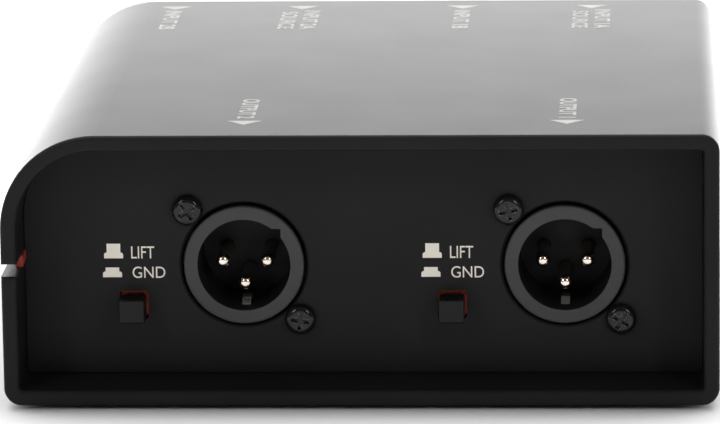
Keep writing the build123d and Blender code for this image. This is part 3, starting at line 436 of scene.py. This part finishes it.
PANEL_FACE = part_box("front_panel")[0].y
TOP_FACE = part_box("outer_shell")[1].z
FRONT_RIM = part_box("outer_shell")[0].y
REAR_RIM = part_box("outer_shell")[1].y
ON_PANEL = Matrix(((1, 0, 0), (0, 0, -1), (0, 1, 0))).to_4x4()
ON_TOP = Matrix(((0, 1, 0), (-1, 0, 0), (0, 0, 1))).to_4x4()


def place_print(name, mesh, turn, origin):
    """A thin printed shape, drawn in its own plane, laid on a face of the box."""
    piece = bpy.data.objects.new(name, mesh)
    bpy.context.scene.collection.objects.link(piece)
    mesh.transform(Matrix.Translation(origin) @ turn)
    mesh.materials.clear()
    # On the lid the legends take the ink with painted shade.
    mesh.materials.append(lid_ink if turn is ON_TOP else print_ink)
    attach(piece, "box")


def word(name, text, width, height, turn, middle, weight=0.0):
    """A word in plain letters, stretched to a printed width and height around its middle."""
    curve = bpy.data.curves.new(name, "FONT")
    curve.body = text
    curve.extrude = PRINT_THICKNESS / 2
    curve.offset = weight
    curve.resolution_u = LETTER_RESOLUTION
    holder = bpy.data.objects.new(name + "_letters", curve)
    bpy.context.scene.collection.objects.link(holder)
    bpy.context.view_layer.update()
    evaluated = holder.evaluated_get(bpy.context.evaluated_depsgraph_get())
    mesh = bpy.data.meshes.new_from_object(evaluated)
    bpy.data.objects.remove(holder)
    low = Vector([min(v.co[i] for v in mesh.vertices) for i in range(3)])
    high = Vector([max(v.co[i] for v in mesh.vertices) for i in range(3)])
    size = high - low
    mesh.transform(Matrix.Translation(-(low + high) / 2))
    mesh.transform(Matrix.Diagonal((width / size.x, height / size.y, 1, 1)))
    place_print(name, mesh, turn, middle)


def flat_shape(name, outline, turn, middle):
    """A filled printed outline."""
    mesh = bpy.data.meshes.new(name)
    work = bmesh.new()
    corners = [work.verts.new((x, y, -PRINT_THICKNESS / 2)) for x, y in outline]
    face = work.faces.new(corners)
    raised = bmesh.ops.extrude_face_region(work, geom=[face])["geom"]
    lifted = [v for v in raised if isinstance(v, bmesh.types.BMVert)]
    bmesh.ops.translate(work, verts=lifted, vec=(0, 0, PRINT_THICKNESS))
    bmesh.ops.recalc_face_normals(work, faces=work.faces)
    work.to_mesh(mesh)
    work.free()
    place_print(name, mesh, turn, middle)


CROWN_SHARE = 0.36
NICK_SHARE = 0.25


def button_icon(name, width, crown_height, base_height, middle):
    """The side view of a push button: a narrow crown on a wide base."""
    base, crown = width / 2, width * CROWN_SHARE
    bottom = -(crown_height + base_height) / 2
    shoulder = bottom + base_height
    nick = base_height * NICK_SHARE
    outline = [(-base, bottom), (base, bottom), (base, shoulder - nick), (base - nick, shoulder),
               (crown, shoulder), (crown, -bottom), (-crown, -bottom), (-crown, shoulder),
               (-base + nick, shoulder), (-base, shoulder - nick)]
    flat_shape(name, outline, ON_PANEL, middle)


# on the panel: heights above the buttons' row, and shifts to the right of each button
BUTTON_ROW = centre("lift_button_2").z
ON_FACE = PANEL_FACE + PRINT_SINK - PRINT_THICKNESS / 2
ICON_WIDTH = 3.25 * MM
ICON_BASE = 1.0 * MM
OUT_CROWN = 1.55 * MM
OUT_SHIFT = -3.35 * MM
OUT_HEIGHT = 9.45 * MM
IN_CROWN = 0.7 * MM
IN_SHIFT = -3.6 * MM
IN_HEIGHT = 5.72 * MM
LIFT_WIDTH, LIFT_LETTERS = 3.95 * MM, 2.1 * MM
LIFT_SHIFT = 1.65 * MM
LIFT_HEIGHT = 9.2 * MM
GROUND_WIDTH, GROUND_LETTERS = 5.6 * MM, 2.0 * MM
GROUND_SHIFT = 2.65 * MM
GROUND_HEIGHT = 5.72 * MM

for channel in CHANNELS:
    x = centre(f"lift_button_{channel}").x
    button_icon(f"icon_out_{channel}", ICON_WIDTH, OUT_CROWN, ICON_BASE,
                (x + OUT_SHIFT, ON_FACE, BUTTON_ROW + OUT_HEIGHT))
    button_icon(f"icon_in_{channel}", ICON_WIDTH, IN_CROWN, ICON_BASE,
                (x + IN_SHIFT, ON_FACE, BUTTON_ROW + IN_HEIGHT))
    word(f"legend_lift_{channel}", "LIFT", LIFT_WIDTH, LIFT_LETTERS, ON_PANEL,
         (x + LIFT_SHIFT, ON_FACE, BUTTON_ROW + LIFT_HEIGHT))
    word(f"legend_gnd_{channel}", "GND", GROUND_WIDTH, GROUND_LETTERS, ON_PANEL,
         (x + GROUND_SHIFT, ON_FACE, BUTTON_ROW + GROUND_HEIGHT))

# on top: distances behind the front rim or in front of the rear rim
ON_LID = TOP_FACE - PRINT_SINK + PRINT_THICKNESS / 2
LETTER_HEIGHT = 3.0 * MM
BOLD = 0.022
MEDIUM = 0.012
ARROW_WIDTH = 5.9 * MM
OUTPUT_SHIFT = 0.5 * MM
OUTPUT_WORD, OUTPUT_WORD_LENGTH = 23.3 * MM, 16.6 * MM
OUTPUT_ARROW, OUTPUT_ARROW_LENGTH = 11.3 * MM, 3.3 * MM
CHANNEL_2_SHIFT = 0.5 * MM
INPUT_WORD, INPUT_WORD_LENGTH = 20.0 * MM, 18.6 * MM
INPUT_ARROW, INPUT_ARROW_LENGTH = 7.6 * MM, 3.3 * MM
FIRST_LINE_SHIFT = 2.1 * MM
SECOND_LINE_SHIFT = -2.0 * MM
SOURCE_WORD, SOURCE_WORD_LENGTH = 20.5 * MM, 17.0 * MM


def arrow(name, middle, length):
    """A flat printed triangle whose tip points to the front of the box."""
    half, reach = ARROW_WIDTH / 2, length / 2
    outline = [(-reach, -half), (reach, 0), (-reach, half)]
    flat_shape(name, outline, ON_TOP, middle)


for channel in CHANNELS:
    x = centre(f"output_{channel}_socket").x + OUTPUT_SHIFT
    word(f"legend_output_{channel}", f"OUTPUT {channel}", OUTPUT_WORD_LENGTH, LETTER_HEIGHT, ON_TOP,
         (x, FRONT_RIM + OUTPUT_WORD, ON_LID), BOLD)
    arrow(f"arrow_output_{channel}", (x, FRONT_RIM + OUTPUT_ARROW, ON_LID), OUTPUT_ARROW_LENGTH)
for socket in INPUTS:
    x = centre(f"input_{socket}_jack").x
    if socket.startswith("2"):
        x += CHANNEL_2_SHIFT
    two_lines = socket.endswith("a")
    first_line = x + FIRST_LINE_SHIFT if two_lines else x
    word(f"legend_input_{socket}", f"INPUT {socket.upper()}", INPUT_WORD_LENGTH, LETTER_HEIGHT, ON_TOP,
         (first_line, REAR_RIM - INPUT_WORD, ON_LID), BOLD)
    if two_lines:
        word(f"legend_source_{socket}", "SOURCE", SOURCE_WORD_LENGTH, LETTER_HEIGHT, ON_TOP,
             (x + SECOND_LINE_SHIFT, REAR_RIM - SOURCE_WORD, ON_LID), MEDIUM)
    arrow(f"arrow_input_{socket}", (x, REAR_RIM - INPUT_ARROW, ON_LID), INPUT_ARROW_LENGTH)


# ---------------------------------------------------------------- studio

FLOOR_SIZE = 30.0
FLOOR_DARK = (0.86, 0.86, 0.86)
FLOOR_LIGHT = (0.88, 0.88, 0.88)
FLOOR_PATCHES = 3.0
FLOOR_ROUGHNESS = 0.9
FLOOR_SPECULAR = 0.1
FAR_GLOW = 0.6
GLOW_REACH = (0.2, 0.8)
WORLD_FRONT = 0.12
WORLD_BACK = 1.0
WORLD_REACH = (-0.6, 0.6)


def make_floor():
    """A plain pale floor at height 0, which glows beyond the object so that it stays white."""
    mesh = bpy.data.meshes.new("studio_floor")
    work = bmesh.new()
    bmesh.ops.create_grid(work, x_segments=2, y_segments=2, size=FLOOR_SIZE / 2)
    work.to_mesh(mesh)
    work.free()
    floor = bpy.data.objects.new("studio_floor", mesh)
    bpy.context.scene.collection.objects.link(floor)
    material, tree, principled = shader("studio_floor")
    patches = ramp(tree, noise(tree, FLOOR_PATCHES), 0.0, 1.0)
    tone = blend(tree, patches, FLOOR_DARK, FLOOR_LIGHT)
    tree.links.new(tone, principled.inputs["Base Color"])
    principled.inputs["Roughness"].default_value = FLOOR_ROUGHNESS
    principled.inputs["Specular IOR Level"].default_value = FLOOR_SPECULAR
    principled.inputs["Emission Color"].default_value = (1, 1, 1, 1)
    place = tree.nodes.new("ShaderNodeTexCoord")
    distance = tree.nodes.new("ShaderNodeVectorMath")
    distance.operation = "LENGTH"
    tree.links.new(place.outputs["Object"], distance.inputs[0])
    glow = ramp(tree, distance.outputs["Value"], 0.0, FAR_GLOW, GLOW_REACH)
    tree.links.new(glow, principled.inputs["Emission Strength"])
    mesh.materials.append(material)


def make_world():
    """White studio surroundings, brighter behind the object than in front of it."""
    world = bpy.data.worlds.new("studio")
    world.use_nodes = True
    tree = world.node_tree
    background = tree.nodes["Background"]
    direction = tree.nodes.new("ShaderNodeTexCoord")
    parts = tree.nodes.new("ShaderNodeSeparateXYZ")
    tree.links.new(direction.outputs["Generated"], parts.inputs["Vector"])
    strength = ramp(tree, parts.outputs["Y"], WORLD_FRONT, WORLD_BACK, WORLD_REACH)
    tree.links.new(strength, background.inputs["Strength"])
    background.inputs["Color"].default_value = (1, 1, 1, 1)
    bpy.context.scene.world = world


def soft_light(name, place, target, size, radiance):
    """A rectangular soft box of a given radiance, hidden from the camera."""
    data = bpy.data.lights.new(name, "AREA")
    data.shape = "RECTANGLE"
    data.size, data.size_y = size
    data.energy = radiance * math.pi * data.size * data.size_y
    light = bpy.data.objects.new(name, data)
    light.location = place
    light.rotation_euler = (Vector(target) - Vector(place)).to_track_quat("-Z", "Y").to_euler()
    light.visible_camera = False
    bpy.context.scene.collection.objects.link(light)


CARD_DISTANCE, CARD_HEIGHT = 0.26, 0.063
CARD_SIZE = (0.7, 0.126)
CARD_RADIANCE = 5.5
TOP_SETBACK, TOP_HEIGHT = 0.13, 1.3
TOP_SIZE = (1.6, 0.38)
TOP_RADIANCE = 8.0
STRIP_SPREAD, STRIP_DISTANCE, STRIP_HEIGHT = 0.62, -0.95, 0.62
STRIP_SIZE = (0.2, 0.45)
STRIP_RADIANCE = 8.0

make_floor()
make_world()
soft_light("back_card", (0, CARD_DISTANCE, CARD_HEIGHT), (0, 0, CARD_HEIGHT), CARD_SIZE, CARD_RADIANCE)
soft_light("top_box", (0, TOP_SETBACK, TOP_HEIGHT), (0, TOP_SETBACK, 0), TOP_SIZE, TOP_RADIANCE)
for name, side in (("strip_left", -1), ("strip_right", 1)):
    soft_light(name, (STRIP_SPREAD * side, STRIP_DISTANCE, STRIP_HEIGHT), (0, 0, 0), STRIP_SIZE,
               STRIP_RADIANCE)


# ---------------------------------------------------------------- camera

CAMERA_PLACE = (47.4 * MM, -968.8 * MM, 234.5 * MM)
CAMERA_YAW, CAMERA_PITCH, CAMERA_ROLL = 2.978, 12.448, -0.754
LENS = 277.0
SENSOR_WIDTH = 36.0
CLIP_END = 100.0
camera_data = bpy.data.cameras.new("camera")
camera_data.lens = LENS
camera_data.sensor_width = SENSOR_WIDTH
camera_data.clip_end = CLIP_END
camera = bpy.data.objects.new("camera", camera_data)
camera.matrix_world = (
    Matrix.Translation(CAMERA_PLACE)
    @ Matrix.Rotation(math.radians(CAMERA_YAW), 4, "Z")
    @ Matrix.Rotation(math.radians(90 - CAMERA_PITCH), 4, "X")
    @ Matrix.Rotation(math.radians(CAMERA_ROLL), 4, "Z")
)
bpy.context.scene.collection.objects.link(camera)
bpy.context.scene.camera = camera
bpy.context.scene.view_settings.view_transform = "Standard"
bpy.context.scene.view_settings.look = "None"
